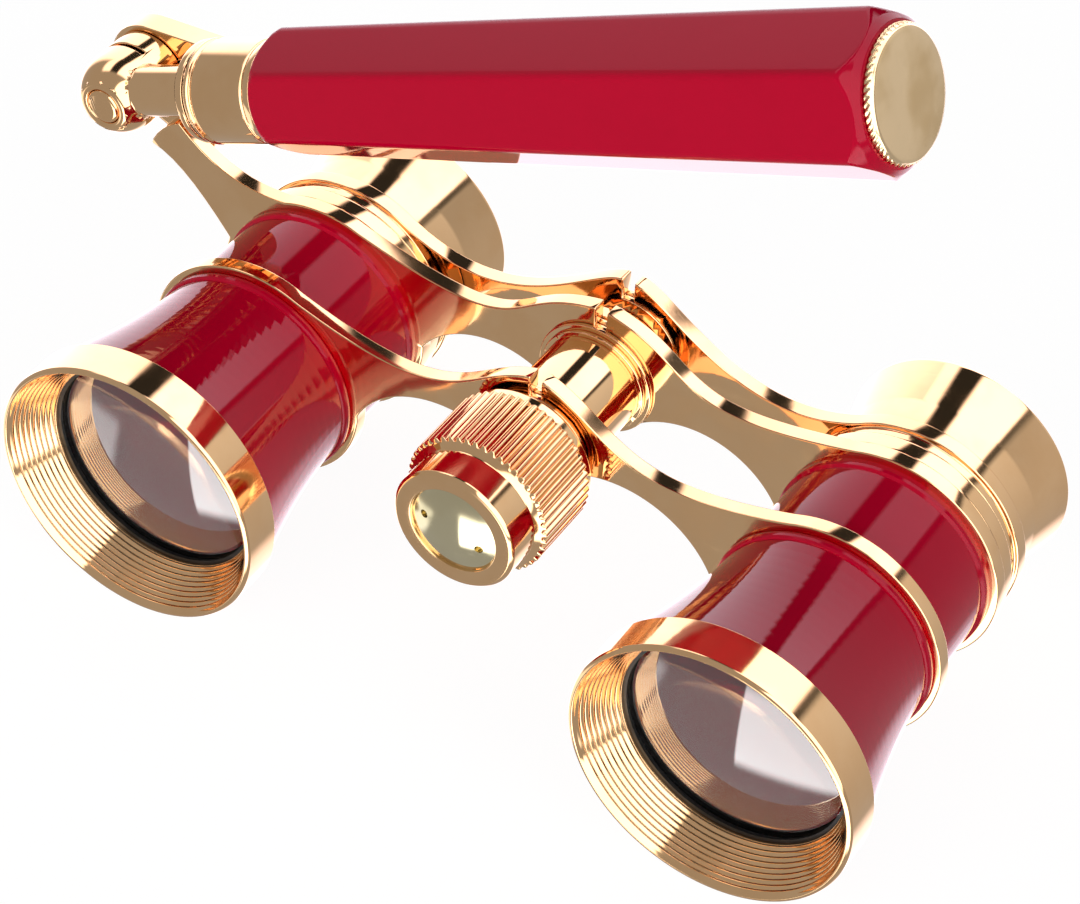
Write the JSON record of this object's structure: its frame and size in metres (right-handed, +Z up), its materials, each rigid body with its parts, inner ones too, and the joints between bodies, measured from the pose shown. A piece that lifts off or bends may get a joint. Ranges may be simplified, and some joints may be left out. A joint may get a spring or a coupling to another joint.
{
  "type": "opera glasses",
  "caption": "Folding opera glasses on a swinging, turning, pull-out side handle: a centre knob moves both eyepieces, and the two barrels fold about the knob's axis.",
  "frame": {"origin": "on the floor plane, under the middle of the box round the resting glasses", "axes": "+X to the viewer's right across the two barrels when looking into the objectives, +Y from the objectives back to the eyepieces, +Z up"},
  "size_m": [0.1142, 0.0536, 0.0808],
  "materials": {
    "gilt": "polished and gilt",
    "pale_gilt": "polished and gilt, paler",
    "crimson_lacquer": "glossy lacquer",
    "blackened": "matt black anodised",
    "coated_glass": "polished, coated",
    "clear_glass": "polished"
  },
  "bodies": {
    "right_half": {"objective_rim_right": "gilt", "spacer_ring_right": "blackened", "objective_lens_right": "coated_glass", "lens_ring_right": "blackened", "front_shell_right": "crimson_lacquer", "inner_tube_right": "blackened", "front_bridge_right": "gilt", "rear_shell_right": "crimson_lacquer", "middle_bridge_right": "gilt", "stop_ring_right": "gilt", "hub_column": "gilt", "hub_front_ring": "gilt", "hub_washer_front": "gilt", "hub_washer_rear": "gilt", "hub_nut": "gilt"},
    "left_half": {"objective_rim_left": "gilt", "spacer_ring_left": "blackened", "objective_lens_left": "coated_glass", "lens_ring_left": "blackened", "front_shell_left": "crimson_lacquer", "inner_tube_left": "blackened", "front_bridge_left": "gilt", "rear_shell_left": "crimson_lacquer", "middle_bridge_left": "gilt", "stop_ring_left": "gilt", "handle_lug": "gilt", "handle_pin": "gilt"},
    "focus_knob": {"focus_knob": "gilt", "knob_screw": "pale_gilt"},
    "carriage": {"focus_spindle": "gilt", "rear_hub_screw": "gilt", "rear_bridge_right": "gilt", "draw_tube_right": "blackened", "eyecup_right": "gilt", "eye_lens_right": "clear_glass", "eye_lens_ring_right": "blackened"},
    "left_eyepiece": {"rear_bridge_left": "gilt", "draw_tube_left": "blackened", "eyecup_left": "gilt", "eye_lens_left": "clear_glass", "eye_lens_ring_left": "blackened"},
    "handle_knuckle": {"handle_knuckle": "gilt"},
    "handle_tube": {"handle_tube": "gilt", "tube_stop": "gilt"},
    "handle_grip": {"handle_collar": "gilt", "handle_sleeve": "crimson_lacquer", "handle_cap": "gilt"}
  },
  "joints": [
    {"name": "fold", "type": "hinge", "parent": "right_half", "child": "left_half", "pos_m": [0.00705, 0, 0.0227], "axis": [0, -1, 0], "range_deg": [-4, 50]},
    {"name": "focus_turn", "type": "hinge", "parent": "right_half", "child": "focus_knob", "pos_m": [0.00705, 0, 0.0227], "axis": [0, 1, 0], "range_deg": [0, 450]},
    {"name": "focus_travel", "type": "slide", "parent": "right_half", "child": "carriage", "axis": [0, 1, 0], "range_m": [0, 0.005]},
    {"name": "eyepiece_fold", "type": "hinge", "parent": "carriage", "child": "left_eyepiece", "pos_m": [0.00705, 0, 0.0227], "axis": [0, -1, 0], "range_deg": [-4, 50]},
    {"name": "handle_swing", "type": "hinge", "parent": "left_half", "child": "handle_knuckle", "pos_m": [-0.05185, 0.00745, 0.0353], "axis": [0, -1, 0], "range_deg": [-17, 230]},
    {"name": "handle_turn", "type": "hinge", "parent": "handle_knuckle", "child": "handle_tube", "pos_m": [-0.05185, 0.00745, 0.0353], "axis": [0.9178, 0, 0.3971], "continuous": true},
    {"name": "handle_pull", "type": "slide", "parent": "handle_tube", "child": "handle_grip", "axis": [0.9178, 0, 0.3971], "range_m": [0, 0.045]}
  ],
  "couplings": [
    {"joint": "focus_turn", "follows": "focus_travel", "rad_per_m": 1570.8},
    {"joint": "eyepiece_fold", "follows": "fold", "ratio": 1}
  ]
}
